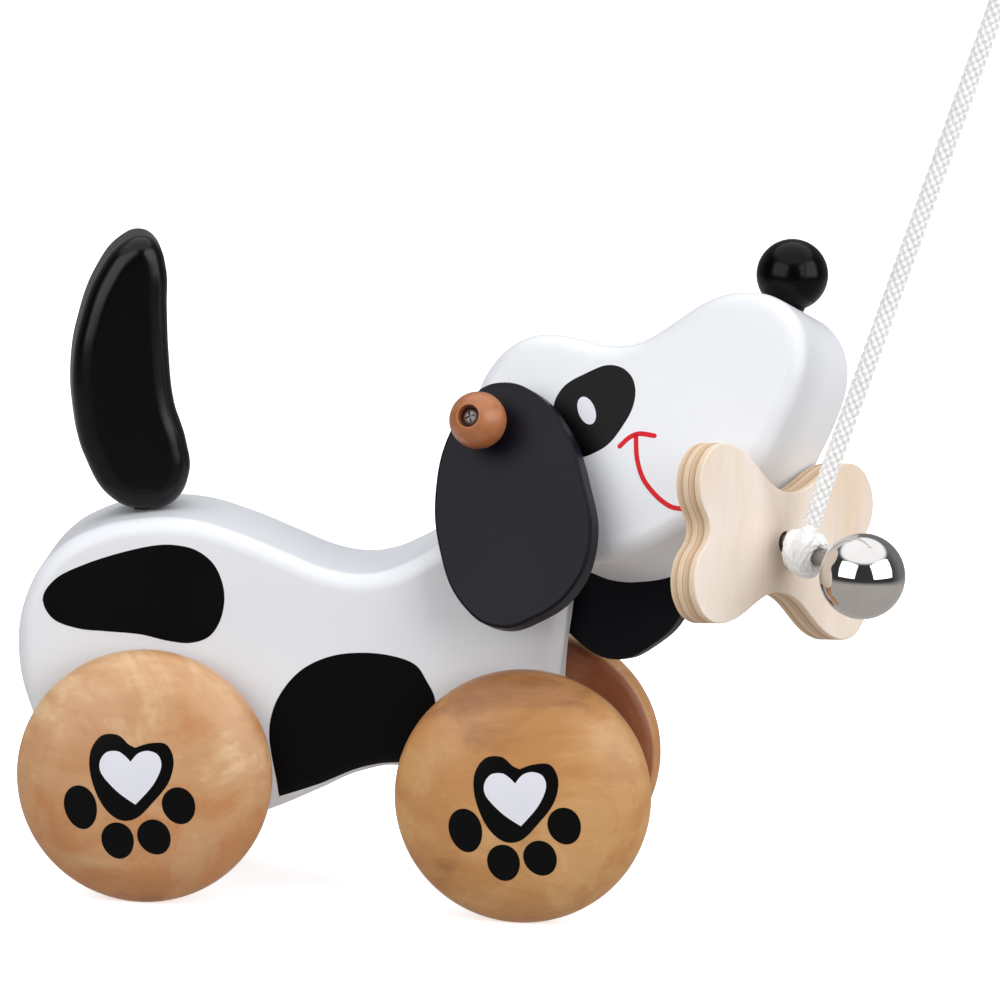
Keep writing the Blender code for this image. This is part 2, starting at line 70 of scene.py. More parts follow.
BEAD_CENTRE_Y = 34.32
BEAD_MOUTH_ANGLE = 0.452         # radians from the bead's axis to its mouth and its foot
BEAD_FOOT_ANGLE = 0.532
POST_ROOT = Vector((92.5, 0.0, 94.1))
POST_AXIS = Vector((0.871, -0.385, -0.304)).normalized()
BONE_ALONG_POST = 20.2
BONE_THICK = 7.2
KNOT_ALONG_POST = 27.4
BALL_ALONG_POST = 47.4
BALL_R = 9.9
BALL_MOUTH_ANGLE = 0.234
NOSE_SEAT = Vector((100.6, 0.0, 145.2))
CORD_R = 2.25

BODY_OUTLINE = [
    (-76.4, 56.5), (-74.6, 70.8), (-69.0, 80.1), (-60.0, 86.2), (-49.0, 89.3),
    (-37.5, 89.9), (-25.5, 87.2), (-14.0, 83.1), (-4.5, 79.8), (3.0, 78.9),
    (9.0, 79.9), (14.8, 82.5), (20.5, 86.1), (27.0, 92.1), (34.6, 96.6),
    (52.5, 80.8), (52.4, 69.0), (51.4, 57.0), (51.5, 45.0), (53.5, 31.0),
    (49.5, 19.0), (41.0, 16.0), (32.5, 20.0), (25.0, 28.5), (15.5, 33.4),
    (6.0, 31.9), (-4.0, 27.0), (-14.0, 22.1), (-26.0, 17.6), (-40.0, 15.6),
    (-54.0, 18.0), (-64.6, 26.8), (-71.9, 40.2),
]
BODY_CORNERS = (14, 15)
HEAD_OUTLINE = [
    (33.4, 98.3), (29.4, 108.0), (31.4, 119.3), (34.2, 125.3), (38.2, 129.9),
    (43.2, 132.6), (48.5, 133.3), (55.5, 132.6), (61.0, 131.5), (66.0, 131.3),
    (71.0, 132.5), (76.0, 135.4), (81.0, 139.1), (86.5, 142.8), (91.5, 144.8),
    (97.0, 145.4), (103.0, 144.5), (108.4, 141.1), (111.9, 135.5), (112.8, 128.5),
    (111.4, 121.5), (108.3, 112.8), (104.8, 105.2), (99.0, 98.4), (92.8, 92.6),
    (84.0, 86.2), (75.0, 81.6), (67.0, 79.6), (59.0, 79.5), (53.2, 81.3),
]
HEAD_CORNERS = (0, 29)
TAIL_OUTLINE = [
    (0.0, 0.0), (-7.8, 1.6), (-15.5, 12.3), (-18.1, 22.0), (-18.9, 33.5),
    (-17.6, 43.5), (-13.4, 56.0), (-8.3, 62.8), (-3.5, 64.8), (0.0, 63.0),
    (2.2, 57.5), (2.8, 48.0), (3.6, 37.0), (5.3, 25.5), (8.4, 16.5), (9.4, 8.5),
    (5.8, 1.6),
]
EAR_OUTLINE = [
    (1.2, 10.3), (9.6, 8.6), (18.6, 0.5), (25.3, -12.5), (28.7, -26.0),
    (25.4, -37.8), (16.8, -45.0), (7.6, -47.6), (-1.6, -42.8), (-9.0, -30.2),
    (-11.9, -14.5), (-9.8, -1.5), (-4.6, 7.6),
]
CORD_ROUTE = [
    (108.6, -36.4, 98.9), (110.8, -36.4, 107.0), (113.7, -36.4, 117.0),
    (117.0, -36.4, 128.0), (120.2, -36.4, 138.5), (123.5, -36.4, 149.5),
    (126.8, -36.4, 160.5), (130.1, -36.4, 171.5), (133.4, -36.4, 182.5),
    (136.7, -36.4, 193.5), (140.0, -36.4, 204.5), (143.3, -36.4, 215.5),
    (146.5, -36.4, 226.5), (149.0, -36.4, 235.0),
]
END_KNOT_LEN = 9.0
HAND_LOOP_LEN = 46.0
HAND_LOOP_WIDTH = 26.0

# painted shapes on the flat sides, x and z in the same frame
SPOT_REAR = [
    (-70.7, 69.7), (-67.7, 74.6), (-61.3, 78.2), (-53.3, 81.3), (-45.5, 83.5),
    (-40.2, 84.0), (-34.9, 83.0), (-30.5, 79.6), (-28.1, 73.8), (-28.4, 67.7),
    (-30.9, 62.9), (-35.4, 60.9), (-40.9, 61.1), (-47.5, 62.3), (-55.4, 62.6),
    (-62.0, 62.9), (-68.1, 64.9),
]
SPOT_MIDDLE = [
    (-13.3, 25.6), (-14.0, 29.0), (-16.1, 39.0), (-15.5, 46.0), (-12.6, 52.0), (-8.2, 56.6),
    (-2.0, 59.6), (4.8, 60.7), (11.6, 60.4), (17.4, 58.6), (20.4, 54.7),
    (22.6, 49.9), (22.0, 42.0), (19.0, 36.5), (14.9, 34.9), (9.8, 34.2),
    (4.1, 32.5), (-3.7, 28.8), (-12.6, 25.5),
]
EYE_PATCH = [
    (52.3, 113.7), (52.4, 117.3), (54.7, 121.0), (59.3, 123.8), (64.0, 125.9),
    (67.9, 125.7), (70.9, 123.6), (72.3, 120.2), (72.0, 116.1), (70.1, 111.9),
    (67.3, 107.7), (63.8, 105.2), (60.1, 104.0), (56.3, 106.2), (53.6, 109.6),
]
EYE_WHITE = ((60.6, 115.0), 2.05, 3.55, 30)
SMILE_TICK = [(69.9, 107.0), (72.1, 109.2), (74.6, 110.2), (78.3, 109.9)]
SMILE_CURVE = [(73.7, 109.5), (74.6, 104.3), (76.8, 99.5), (80.7, 95.6), (84.3, 93.5), (87.3, 93.1)]
SMILE_WIDTH = 1.15

# paw print, x and z from the wheel's centre
PAW_PAD = [
    (-0.5, 8.2), (2.8, 9.5), (6.6, 9.5), (8.6, 5.9), (7.8, 0.7), (4.5, -4.3), (0.6, -8.6),
    (-3.6, -9.1), (-7.6, -5.7), (-10.5, 0.5), (-11.0, 6.2), (-8.7, 10.2), (-4.9, 10.8),
    (-2.2, 8.9),
]
PAW_HEART = [
    (-1.4, 4.8), (0.2, 6.9), (2.6, 7.7), (5.0, 6.8), (5.8, 4.0), (4.1, -0.4), (0.4, -5.2),
    (-3.9, -2.6), (-7.9, 1.2), (-8.6, 4.1), (-7.2, 6.5), (-4.6, 7.0), (-2.7, 6.0),
]
PAW_TOES = [
    ((-12.5, -7.2), 3.9, 5.3, 14), ((-3.3, -14.4), 3.8, 4.5, 14),
    ((5.2, -12.8), 3.8, 4.4, 28), ((10.5, -4.8), 3.8, 4.5, 22),
]


# ---- places -------------------------------------------------------------------------
def mm(x, y, z):
    return Vector((x, y, z)) * MM


def place_at(point, rotation=None):
    """Matrix that puts a piece's own origin at a point of the dog's frame."""
    matrix = Matrix.Translation((Vector(point) + SHIFT) * MM)
    return matrix @ rotation.to_matrix().to_4x4() if rotation else matrix


HEAD_TURN = Quaternion(NECK_AXIS, radians(HEAD_TURN_DEG))


def head_place(point, rotation=None):
    """The same for a point given on the straight head."""
    turned_point = NECK_POINT + HEAD_TURN @ (Vector(point) - NECK_POINT)
    return place_at(turned_point, HEAD_TURN @ rotation if rotation else HEAD_TURN)


def z_to(direction):
    return Vector((0, 0, 1)).rotation_difference(Vector(direction).normalized())


def add_object(name, data):
    made = bpy.data.objects.new(name, data)
    bpy.context.scene.collection.objects.link(made)
    return made


# ---- camera -------------------------------------------------------------------------
def make_camera():
    azimuth, elevation, roll = radians(3.061), radians(9.590), radians(2.457)
    aim = Vector((34.687, 0.0, 95.30)) + SHIFT
    right = Vector((cos(azimuth), sin(azimuth), 0))
    ahead = Vector((-sin(azimuth) * cos(elevation), cos(azimuth) * cos(elevation), -sin(elevation)))
    up = right.cross(ahead)
    right_rolled = right * cos(roll) + up * sin(roll)
    up_rolled = up * cos(roll) - right * sin(roll)
    data = bpy.data.cameras.new("photo_camera")
    data.sensor_width = 36.0
    data.lens = 274.37
    data.clip_end = 50.0
    cam = add_object("photo_camera", data)
    turn = Matrix((right_rolled, up_rolled, -ahead)).transposed()
    cam.matrix_world = Matrix.Translation((aim - ahead * 1800.0) * MM) @ turn.to_4x4()
    bpy.context.scene.camera = cam


make_camera()


# ---- mesh helpers -------------------------------------------------------------------
def link_mesh(name, mesh, matrix, smooth_deg=40):
    mesh.name = name
    made = add_object(name, mesh)
    made.matrix_world = matrix
    mesh.shade_smooth()
    mesh.set_sharp_from_angle(angle=radians(smooth_deg))
    return made


def face_outward(mesh, weld=None):
    """Weld the mesh's points if a distance is given, and turn its faces outward."""
    work = bmesh.new()
    work.from_mesh(mesh)
    if weld:
        bmesh.ops.remove_doubles(work, verts=work.verts, dist=weld)
    bmesh.ops.recalc_face_normals(work, faces=work.faces)
    work.to_mesh(mesh)
    work.free()
    return mesh


def mesh_from(verts, faces):
    mesh = bpy.data.meshes.new("piece")
    mesh.from_pydata([Vector(v) for v in verts], [], faces)
    return face_outward(mesh)


def baked(holder):
    """Evaluated mesh of a curve holder, welded; the holder is removed."""
    graph = bpy.context.evaluated_depsgraph_get()
    mesh = bpy.data.meshes.new_from_object(holder.evaluated_get(graph))
    bpy.data.objects.remove(holder, do_unlink=True)
    return face_outward(mesh, weld=0.004 * MM)


def closed_spline(curve, points, corners, steps):
    spline = curve.splines.new("BEZIER")
    spline.bezier_points.add(len(points) - 1)
    for index, (knot, (x, z)) in enumerate(zip(spline.bezier_points, points)):
        knot.co = mm(x, z, 0)
        kind = "VECTOR" if index in corners else "AUTO"
        knot.handle_left_type = kind
        knot.handle_right_type = kind
    spline.use_cyclic_u = True
    spline.resolution_u = steps


def outline_mesh(points, thickness, rounding, corners=(), steps=10, round_steps=6):
    """A smooth plate in the XZ plane, centred on y = 0, with rounded edges."""
    curve = bpy.data.curves.new("outline", "CURVE")
    curve.dimensions = "2D"
    curve.fill_mode = "BOTH"
    curve.extrude = (thickness / 2 - rounding) * MM
    curve.bevel_depth = rounding * MM
    curve.bevel_resolution = round_steps
    curve.offset = -rounding * MM
    closed_spline(curve, points, corners, steps)
    mesh = baked(add_object("outline", curve))
    mesh.transform(Matrix.Rotation(pi / 2, 4, "X"))
    return mesh


def weigh_normals(obj):
    """Keep the flat sides flat while their rounded edges shade smoothly."""
    fix = obj.modifiers.new("weighted", "WEIGHTED_NORMAL")
    fix.keep_sharp = True
    fix.weight = 80


def smooth_points(points, corners=(), steps=8):
    """Closed smooth line through the points, with the same handles as the plates."""
    count = len(points)
    flat = [Vector((x, z, 0)) for x, z in points]
    line = []
    for i in range(count):
        before, a = flat[i - 1], flat[i]
        b, after = flat[(i + 1) % count], flat[(i + 2) % count]
        out = a if i in corners else a + (b - before) / 6
        into = b if (i + 1) % count in corners else b - (after - a) / 6
        line += interpolate_bezier(a, out, into, b, steps + 1)[:-1]
    return [(p.x, p.y) for p in line]


def smooth_route(route, steps):
    """Open smooth line through points in space."""
    points = [Vector(p) for p in route]
    line = []
    for i in range(len(points) - 1):
        before, after = points[max(i - 1, 0)], points[min(i + 2, len(points) - 1)]
        a, b = points[i], points[i + 1]
        line += interpolate_bezier(a, a + (b - before) / 6, b - (after - a) / 6, b, steps + 1)[:-1]
    return line + [points[-1]]


def smooth_profile(points, steps=6):
    """Open smooth line through flat points, such as (radius, height)."""
    return [(max(p.x, 0.0), p.y) for p in smooth_route([(x, y, 0) for x, y in points], steps)]


def ellipse(centre, half_width, half_height, lean_deg, egg=0.0):
    lean = radians(lean_deg)
    ring = []
    for k in range(40):
        u = 2 * pi * k / 40
        x, z = half_width * cos(u) * (1 + egg * sin(u)), half_height * sin(u)
        ring.append((centre[0] + x * cos(lean) - z * sin(lean),
                     centre[1] + x * sin(lean) + z * cos(lean)))
    return ring


def skin(rings, steps):
    """Faces between neighbouring rings of point numbers; a ring of one point is a tip."""
    faces = []
    for low, high in zip(rings, rings[1:]):
        for k in range(steps):
            n = (k + 1) % steps
            corners = dict.fromkeys((low[k % len(low)], low[n % len(low)],
                                     high[n % len(high)], high[k % len(high)]))
            if len(corners) > 2:
                faces.append(tuple(corners))
    return faces


def lathe(profile, steps=96, closed=False):
    """Closed mesh spun about Z from (radius, height) points; r = 0 ends close it."""
    verts = []
    rings = []
    turns = [2 * pi * k / steps for k in range(steps)]
    for r, h in profile:
        at_axis = r < 1e-4 and not closed
        ring = [mm(r * cos(a), r * sin(a), h) for a in ([0.0] if at_axis else turns)]
        rings.append(range(len(verts), len(verts) + len(ring)))
        verts += ring
    return mesh_from(verts, skin(rings + rings[:1] if closed else rings, steps))


def dowel(radius, length, steps=48):
    """Round rod about its middle, with a 0.6 mm chamfer on both ends."""
    half, neck = length / 2, radius - 0.6
    return lathe([(0, half), (neck, half), (radius, half - 0.6), (radius, 0.6 - half),
                  (neck, -half), (0, -half)], steps)


def arc(centre_r, centre_h, radius, start_deg, end_deg, count):
    angles = [radians(start_deg + (end_deg - start_deg) * i / count) for i in range(count + 1)]
    return [(max(centre_r + radius * cos(a), 0.0), centre_h + radius * sin(a)) for a in angles]


def cut_away(obj, mesh, local):
    """Subtract a closed mesh, placed in the object's own coordinates."""
    cutter = add_object("cutter", mesh)
    cutter.matrix_world = obj.matrix_world @ local
    cut = obj.modifiers.new("cut", "BOOLEAN")
    cut.operation = "DIFFERENCE"
    cut.solver = "EXACT"
    cut.object = cutter
    bpy.context.view_layer.update()
    graph = bpy.context.evaluated_depsgraph_get()
    done = bpy.data.meshes.new_from_object(obj.evaluated_get(graph))
    obj.modifiers.remove(cut)
    obj.data = done
    bpy.data.objects.remove(cutter, do_unlink=True)


def bore(obj, radius, start, direction, length, steps=48):
    """Cut a round hole; start and direction are in the object's own millimetres."""
    mesh = bpy.data.meshes.new("drill")
    work = bmesh.new()
    bmesh.ops.create_cone(work, cap_ends=True, segments=steps, radius1=radius * MM,
                          radius2=radius * MM, depth=length * MM)
    bmesh.ops.translate(work, verts=work.verts, vec=mm(0, 0, length / 2))
    work.to_mesh(mesh)
    work.free()
    turn = z_to(direction).to_matrix().to_4x4()
    cut_away(obj, mesh, Matrix.Translation(Vector(start) * MM) @ turn)


def surface_of(obj):
    """Ray-castable copy of a piece in its own coordinates."""
    work = bmesh.new()
    work.from_mesh(obj.data)
    tree = BVHTree.FromBMesh(work)
    work.free()
    return tree


def on_surface(tree, x, z, side):
    """Point and outward direction where the side view meets the piece."""
    hit, normal = tree.ray_cast(mm(x, side * 80, z), Vector((0, -side, 0)))[:2]
    if hit is None:
        hit, normal = tree.find_nearest(mm(x, side * 18, z))[:2]
    return hit, normal if normal.y * side > 0 else -normal


FILM_DEPTH = 0.25                # how far a printed layer reaches into its piece


def film(name, base, tree, outline, side, lift=0.05, rings=10, centre=None):
    """A thin printed layer that follows the base's surface inside an outline."""
    cx, cz = centre or [sum(values) / len(outline) for values in zip(*outline)]
    flat = [(cx, cz)]
    for ring in range(1, rings + 1):
        t = 1 - (1 - ring / rings) ** 1.6
        flat += [(cx + t * (x - cx), cz + t * (z - cz)) for x, z in outline]
    count = len(outline)
    top = []
    low = []
    for x, z in flat:
        hit, normal = on_surface(tree, x, z, side)
        top.append(hit + normal * lift * MM)
        low.append(hit - normal * FILM_DEPTH * MM)
    layer = [[0]] + [range(1 + ring * count, 1 + (ring + 1) * count) for ring in range(rings)]
    under = [[len(top) + i for i in ring] for ring in reversed(layer)]
    mesh = mesh_from(top + low, skin(layer + under, count))
    return link_mesh(name, mesh, base.matrix_world.copy(), 60)


def stroke(name, base, tree, line, width, side, lift=0.05):
    """A painted line with round ends that follows the base's surface."""
    pts = [Vector(p) for p in line]
    flat, rows, faces = [], [], []
    for i, p in enumerate(pts):
        ahead = (pts[min(i + 1, len(pts) - 1)] - pts[max(i - 1, 0)]).normalized()
        across = Vector((-ahead.y, ahead.x)) * width / 2
        rows.append(range(len(flat), len(flat) + 3))
        flat += [p + across, p, p - across]
    for (a0, a1, a2), (b0, b1, b2) in zip(rows, rows[1:]):
        faces += [(a0, b0, b1, a1), (a1, b1, b2, a2)]
    for tip, inner, (first, hub, last) in ((pts[-1], pts[-2], rows[-1]),
                                           (pts[0], pts[1], reversed(rows[0]))):
        forward = (tip - inner).normalized() * width / 2
        edge = flat[first] - tip
        turns = [pi * k / 6 for k in range(1, 6)]
        chain = [first, *range(len(flat), len(flat) + len(turns)), last]
        flat += [tip + forward * sin(a) + edge * cos(a) for a in turns]
        faces += [(hub, a, b) for a, b in zip(chain, chain[1:])]
    top = []
    for p in flat:
        hit, normal = on_surface(tree, p.x, p.y, side)
        top.append(hit + normal * lift * MM)
    mesh = mesh_from(top, faces)
    work = bmesh.new()
    work.from_mesh(mesh)
    out = bmesh.ops.extrude_face_region(work, geom=list(work.faces))
    moved = [v for v in out["geom"] if isinstance(v, bmesh.types.BMVert)]
    bmesh.ops.translate(work, verts=moved, vec=mm(0, -side * FILM_DEPTH, 0))
    work.to_mesh(mesh)
    work.free()
    return link_mesh(name, face_outward(mesh), base.matrix_world.copy(), 60)


# ---- cords --------------------------------------------------------------------------
def resampled(line, spacing):
    """Points at even spacing along a line."""
    lengths = [0.0]
    for a, b in zip(line, line[1:]):
        lengths.append(lengths[-1] + (b - a).length)
    total = lengths[-1]
    count = max(int(total / spacing), 2)
    out = []
    seg = 0
    for i in range(count + 1):
        want = total * i / count
        while seg < len(line) - 2 and lengths[seg + 1] < want:
            seg += 1
        span = lengths[seg + 1] - lengths[seg]
        t = (want - lengths[seg]) / span if span > 0 else 0.0
        out.append(line[seg].lerp(line[seg + 1], min(max(t, 0.0), 1.0)))
    return out


def braid_height(turn, along, strands, pitch):
    """Bulge of the topmost strand, 0 to 1, for a diamond braid."""
    a = turn * strands + along / pitch
    b = turn * strands - along / pitch
    fa, fb = a % 1.0, b % 1.0
    if (int(a // 1) + int(b // 1)) % 2 == 0:
        across, lengthwise = fa, fb
    else:
        across, lengthwise = fb, fa
    return sin(pi * across) ** 0.6 * (0.55 + 0.45 * sin(pi * lengthwise))


def braided_tube(line, radius, spacing=0.22, around=56, strands=6, pitch=2.2, depth=0.62):
    """A braided cord's mesh along a line, with real strand relief."""
    points = resampled([Vector(p) for p in line], spacing)
    normal = Vector((0, 1, 0))
    verts = []
    rings = []
    travelled = 0.0
    total = sum((b - a).length for a, b in zip(points, points[1:]))
    for i, p in enumerate(points):
        ahead = (points[min(i + 1, len(points) - 1)] - points[max(i - 1, 0)]).normalized()
        normal = (normal - ahead * normal.dot(ahead)).normalized()
        side = ahead.cross(normal)
        if i:
            travelled += (p - points[i - 1]).length
        scale = 1.0
        edge = min(travelled, total - travelled)
        if edge < radius * 0.9:
            scale = sqrt(max(1 - (1 - edge / (radius * 0.9)) ** 2, 0.02))
        rings.append(range(len(verts), len(verts) + around))
        for k in range(around):
            turn = k / around
            h = braid_height(turn, travelled, strands, pitch)
            r = (radius - depth * (1 - h)) * scale
            offset = normal * cos(2 * pi * turn) + side * sin(2 * pi * turn)
            verts.append((p + offset * r) * MM)
    hub = len(verts)
    verts += [points[0] * MM, points[-1] * MM]
    return mesh_from(verts, skin([[hub], *rings, [hub + 1]], around))


def joined(meshes):
    """Several closed meshes as one."""
    work = bmesh.new()
    for mesh in meshes:
        work.from_mesh(mesh)
    out = bpy.data.meshes.new("joined")
    work.to_mesh(out)
    work.free()
    return out


def hand_loop_points(start, direction, count=22):
    """Tear-shaped loop whose two ends run into the far knot."""
    side = Vector((direction.z, 0, -direction.x))
    points = []
    for i in range(count):
        turn = 0.42 + (2 * pi - 0.84) * i / (count - 1)
        along = HAND_LOOP_LEN * (1 - cos(turn)) / 2
        across = HAND_LOOP_WIDTH / 2 * sin(turn) * (1 - 0.35 * cos(turn))
        points.append(start + direction * along + side * across)
    root = start - direction * 1.6
    return [root + side * 0.9, *points, root - side * 0.9]


def cord_piece(name, mesh, node):
    """A piece of cord, in the dog's frame, that turns with the head."""
    piece = link_mesh(name, mesh, place_at((0, 0, 0)), 70)
    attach(piece, "head")
    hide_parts(node)
    return piece


def make_cord():
    """Braided pull cord, its far knot and its hand loop."""
    route = smooth_route(CORD_ROUTE, 6)
    cord = cord_piece("braided_pull_cord", braided_tube(route, CORD_R), "pull_cord")
    top = Vector(CORD_ROUTE[-1])
    direction = (top - Vector(CORD_ROUTE[-2])).normalized()
    middle = top + direction * (0.3 + END_KNOT_LEN / 2)
    knot = make_end_knot(middle, direction)
    loop_start = top + direction * (0.3 + END_KNOT_LEN - 0.6)
    points = smooth_route(hand_loop_points(loop_start, direction), 6)
    loop = cord_piece("braided_hand_loop", braided_tube(points, CORD_R), "hand_loop")
    pull_knot = make_pull_knot()
    path = [(p + SHIFT) * MM for p in resampled(route, 2.0)]
    return [cord, knot, loop, pull_knot]


def make_end_knot(middle, direction):
    """Overhand knot: two wraps round the cord with a strand crossing over them."""
    side = Vector((direction.z, 0, -direction.x))
    depth = direction.cross(side)
    line = []
    for i in range(61):
        t = i / 60
        a = 2 * pi * 1.75 * t
        r = 3.0 - 0.15 * cos(3 * a)
        line.append(middle + direction * (-2.9 + 5.8 * t) + side * r * cos(a) + depth * r * sin(a))
    wraps = braided_tube(line, 1.85, spacing=0.3, around=40, strands=7, pitch=3.0, depth=0.35)
    cross = [middle + direction * (-3.9) + depth * 1.2, middle + direction * (-1.4) - depth * 3.0,
             middle + direction * 1.4 - depth * 3.1 + side * 0.8,
             middle + direction * 3.9 + side * 0.6 + depth * 0.6]
    over = braided_tube(smooth_route(cross, 10), 1.8, spacing=0.3, around=40, strands=7,
                        pitch=3.0, depth=0.35)
    core = braided_tube([middle - direction * 5.2, middle + direction * 5.2], 2.2, spacing=0.4,
                        around=32, strands=7, pitch=3.2, depth=0.3)
    return cord_piece("far_knot", joined([wraps, over, core]), "cord_end_knot")


def make_pull_knot():
    """The knot round the bone's post, from which the cord leaves upward."""
    centre = NECK_POINT + HEAD_TURN @ (POST_ROOT + POST_AXIS * (KNOT_ALONG_POST + 0.5) - NECK_POINT)
    axis = HEAD_TURN @ POST_AXIS
    exit_point = Vector(CORD_ROUTE[0])
    up = (exit_point - centre)
    up = (up - axis * up.dot(axis)).normalized()
    side = axis.cross(up)
    def around(turn_deg, along, radius):
        turn = radians(turn_deg)
        return centre + axis * along + (up * cos(turn) + side * sin(turn)) * radius
    line = [around(1010 - 912 * i / 90, -3.1 + 5.6 * i / 90, 3.75 - 0.35 * i / 90)
            for i in range(91)]
    line += [around(70, 2.4, 3.9), around(38, 1.9, 4.6), exit_point - up * 0.2,
             Vector(CORD_ROUTE[0]).lerp(Vector(CORD_ROUTE[1]), 0.30)]
    wraps = braided_tube(smooth_route(line[:88], 1) + smooth_route(line[88:], 8)[1:], 1.8,
                         spacing=0.25, around=44, strands=7, pitch=2.6, depth=0.48)
    bight = [around(20, -3.2, 3.2), around(55, -2.2, 4.6), around(95, -0.6, 5.1),
             around(135, 1.0, 4.9), around(175, 2.6, 4.2), around(205, 3.0, 3.0)]
    over = braided_tube(smooth_route(bight, 10), 1.55, spacing=0.25, around=40, strands=7,
                        pitch=2.5, depth=0.42)
    collar = braided_tube([around(6 * i, 2.9, 3.0) for i in range(62)], 1.45, spacing=0.25,
                          around=36, strands=6, pitch=2.2, depth=0.4)
    return cord_piece("post_knot", joined([wraps, over, collar]), "cord_knot")


CORD_PIECES = make_cord()


# ---- material nodes -----------------------------------------------------------------
class Nodes:
    """Small helper that adds and wires shader nodes."""

    def __init__(self, name):
        self.material = bpy.data.materials.new(name)
        self.material.use_nodes = True
        self.tree = self.material.node_tree

    def feed(self, value, socket):
        if isinstance(value, bpy.types.NodeSocket):
            self.tree.links.new(value, socket)
        else:
            socket.default_value = colour(value) if socket.type == "RGBA" else value

    def add(self, kind, settings=None, **inputs):
        node = self.tree.nodes.new(kind)
        for key, value in (settings or {}).items():
            setattr(node, key, value)
        for key, value in inputs.items():
            self.feed(value, node.inputs[key.replace("_", " ")])
        return node

    def surface(self, **inputs):
        """Feed the material's own shader; gives back the finished material."""
        for key, value in inputs.items():
            self.feed(value, self.tree.nodes["Principled BSDF"].inputs[key.replace("_", " ")])
        return self.material

    def coords(self, scale=(1, 1, 1), rotation=(0, 0, 0), offset=(0, 0, 0)):
        source = self.add("ShaderNodeTexCoord").outputs["Object"]
        return self.add("ShaderNodeMapping", Vector=source, Scale=scale, Rotation=rotation,
                        Location=offset).outputs["Vector"]

    def axes(self, vector):
        """The x, y and z of a vector."""
        return self.add("ShaderNodeSeparateXYZ", Vector=vector).outputs[:3]

    def noise(self, vector, scale, detail=4.0, rough=0.55, distortion=0.0):
        return self.add("ShaderNodeTexNoise", Vector=vector, Scale=scale, Detail=detail,
                        Roughness=rough, Distortion=distortion).outputs["Fac"]

    def ramp(self, factor, stops, interpolation="LINEAR"):
        node = self.add("ShaderNodeValToRGB", Fac=factor)
        node.color_ramp.interpolation = interpolation
        elements = node.color_ramp.elements
        elements.remove(elements[-1])
        elements[0].position = stops[0][0]
        elements[0].color = colour(stops[0][1])
        for place, value in stops[1:]:
            elements.new(place).color = colour(value)
        return node.outputs["Color"]

    def mix(self, factor, a, b, blend="MIX"):
        node = self.add("ShaderNodeMix", {"data_type": "RGBA", "blend_type": blend})
        for index, value in ((0, factor), (6, a), (7, b)):
            self.feed(value, node.inputs[index])
        return node.outputs[2]

    def over(self, factor, low, high, strength, a, b):
        """Lay b over a where the factor climbs from low to high."""
        return self.mix(self.ramp(factor, [(low, 0.0), (high, strength)]), a, b)

    def math(self, operation, a, b=0.0):
        node = self.add("ShaderNodeMath", {"operation": operation})
        for index, value in enumerate((a, b)):
            self.feed(value, node.inputs[index])
        return node.outputs[0]

    def times(self, a, b):
        return self.math("MULTIPLY", a, b)

    def plus(self, a, b):
        return self.math("ADD", a, b)

    def spread(self, source, low, high):
        return self.add("ShaderNodeMapRange", Value=source, To_Min=low,
                        To_Max=high).outputs["Result"]

    def bump(self, height, strength, distance, **after):
        return self.add("ShaderNodeBump", Strength=strength, Distance=distance, Height=height,
                        **after).outputs["Normal"]


def srgb(r, g, b):
    """0 to 255 screen colour as linear values."""
    def one(v):
        v = v / 255
        return v / 12.92 if v <= 0.04045 else ((v + 0.055) / 1.055) ** 2.4
    return (one(r), one(g), one(b))


def colour(value):
    if isinstance(value, (int, float)):
        return (value, value, value, 1.0)
    return (*value[:3], 1.0)


def paint_material(name, base, shade, roughness, specular, orange_peel=0.25, speck=0.06):
    """Sprayed paint on wood: faint mottling, orange peel and telegraphed grain."""
    n = Nodes(name)
    place = n.coords()
    wide = n.noise(place, 28.0, 3.0)
    mottled = n.over(wide, 0.35, 0.7, 1.0, base, shade)
    tint = n.over(n.noise(place, 900.0, 2.0), 0.4, 0.75, speck, mottled, shade)
    peel = n.bump(n.noise(place, 420.0, 2.0), orange_peel, 0.00006)
    grain = n.noise(n.coords(scale=(0.05, 1.0, 1.0)), 620.0, 3.0)
    return n.surface(Base_Color=tint, Roughness=n.spread(wide, roughness * 0.9, roughness * 1.15),
                     Normal=n.bump(grain, orange_peel * 0.5, 0.00005, Normal=peel),
                     Specular_IOR_Level=specular)


# scale of the painted light and shade that drifts a wheel's tone across its face
SHADE_SWEEP_SCALE = 33.0               # about 1 at a wheel's rim
BACK_SHADE_SCALE = 500.0               # 0.5 at a depth of 1 mm


